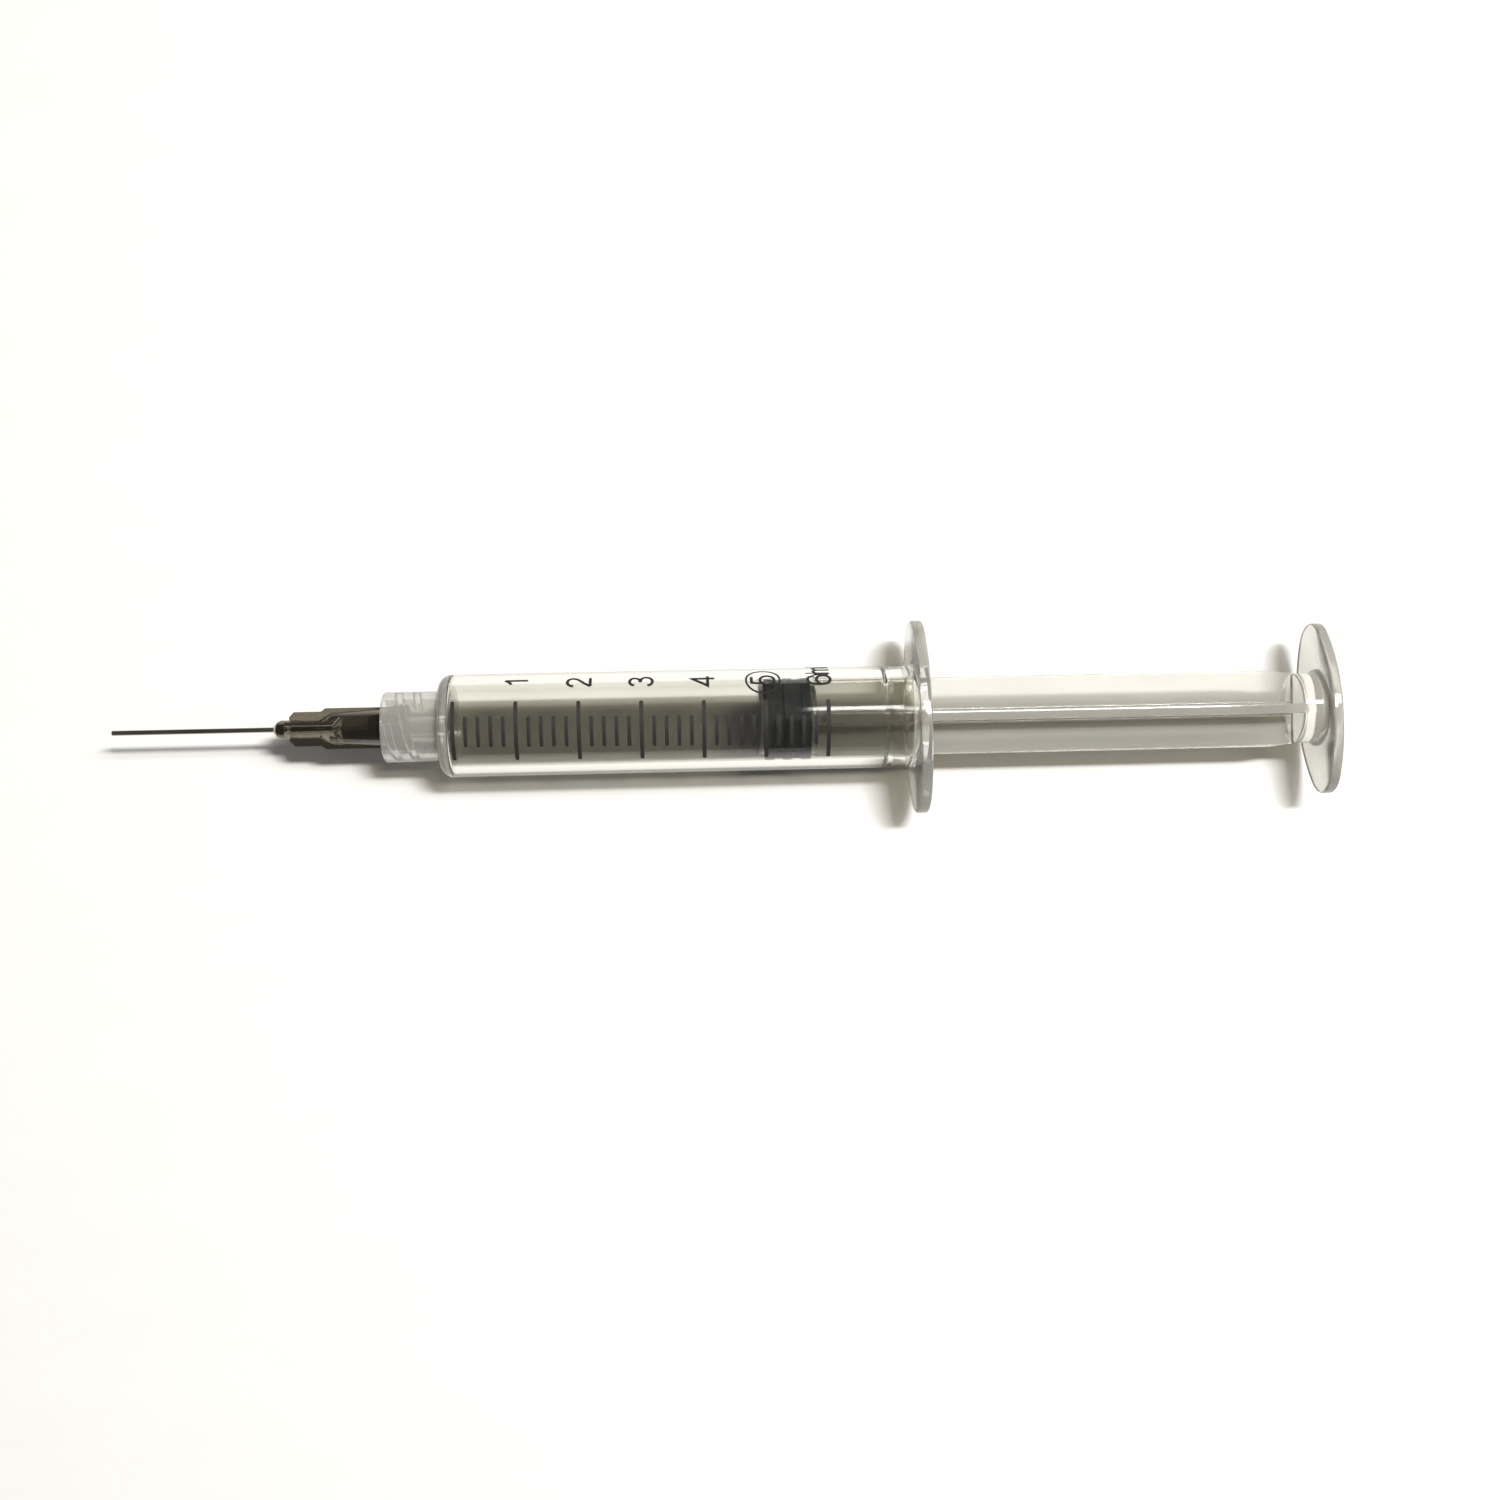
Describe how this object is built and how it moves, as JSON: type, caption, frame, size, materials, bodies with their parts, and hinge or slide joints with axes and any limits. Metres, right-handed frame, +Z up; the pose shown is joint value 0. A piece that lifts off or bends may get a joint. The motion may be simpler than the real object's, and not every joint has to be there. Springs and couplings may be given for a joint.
{
  "type": "luer lock syringe with blunt needle",
  "caption": "Clear luer-lock syringe with a printed scale, black rubber stopper, cross-ribbed plunger and a blunt needle on a smoky finned hub.",
  "frame": {"origin": "on the barrel's axis at the zero line of the printed scale", "axes": "+X along the barrel's axis from the needle towards the thumb rest, +Y along the finger flange, +Z up when the flange rests on a table"},
  "size_m": [0.1772, 0.0286, 0.0174],
  "materials": {
    "barrel_plastic": "clear, slightly milky polypropylene",
    "black_ink": "screen-printed ink",
    "black_rubber": "smooth moulded rubber",
    "rod_plastic": "clear, slightly milky polypropylene",
    "smoky_plastic": "smoky translucent polypropylene",
    "needle_steel": "drawn stainless tube",
    "cured_glue": "clear cured adhesive"
  },
  "bodies": {
    "barrel": {"barrel": "barrel_plastic", "scale_marks": "black_ink"},
    "stopper": {"stopper": "black_rubber"},
    "plunger_rod": {"plunger_rod": "rod_plastic"},
    "needle": {"cannula": "needle_steel", "adhesive_bead": "cured_glue"},
    "needle_hub": {"needle_hub": "smoky_plastic"}
  },
  "joints": [
    {"name": "stopper_slide", "type": "slide", "parent": "barrel", "child": "stopper", "axis": [1, 0, 0], "range_m": [-0.04426, 0.00969]},
    {"name": "rod_turn", "type": "hinge", "parent": "stopper", "child": "plunger_rod", "pos_m": [0.05071, 0, 0], "axis": [1, 0, 0], "continuous": true},
    {"name": "needle_slide", "type": "slide", "parent": "barrel", "child": "needle", "axis": [-1, 0, 0], "range_m": [0, 0.00375]},
    {"name": "hub_turn", "type": "hinge", "parent": "needle", "child": "needle_hub", "pos_m": [-0.0072, 0, 0], "axis": [-1, 0, 0], "range_deg": [0, 270.5]}
  ],
  "couplings": [
    {"joint": "hub_turn", "follows": "needle_slide", "rad_per_m": 1256.6}
  ]
}
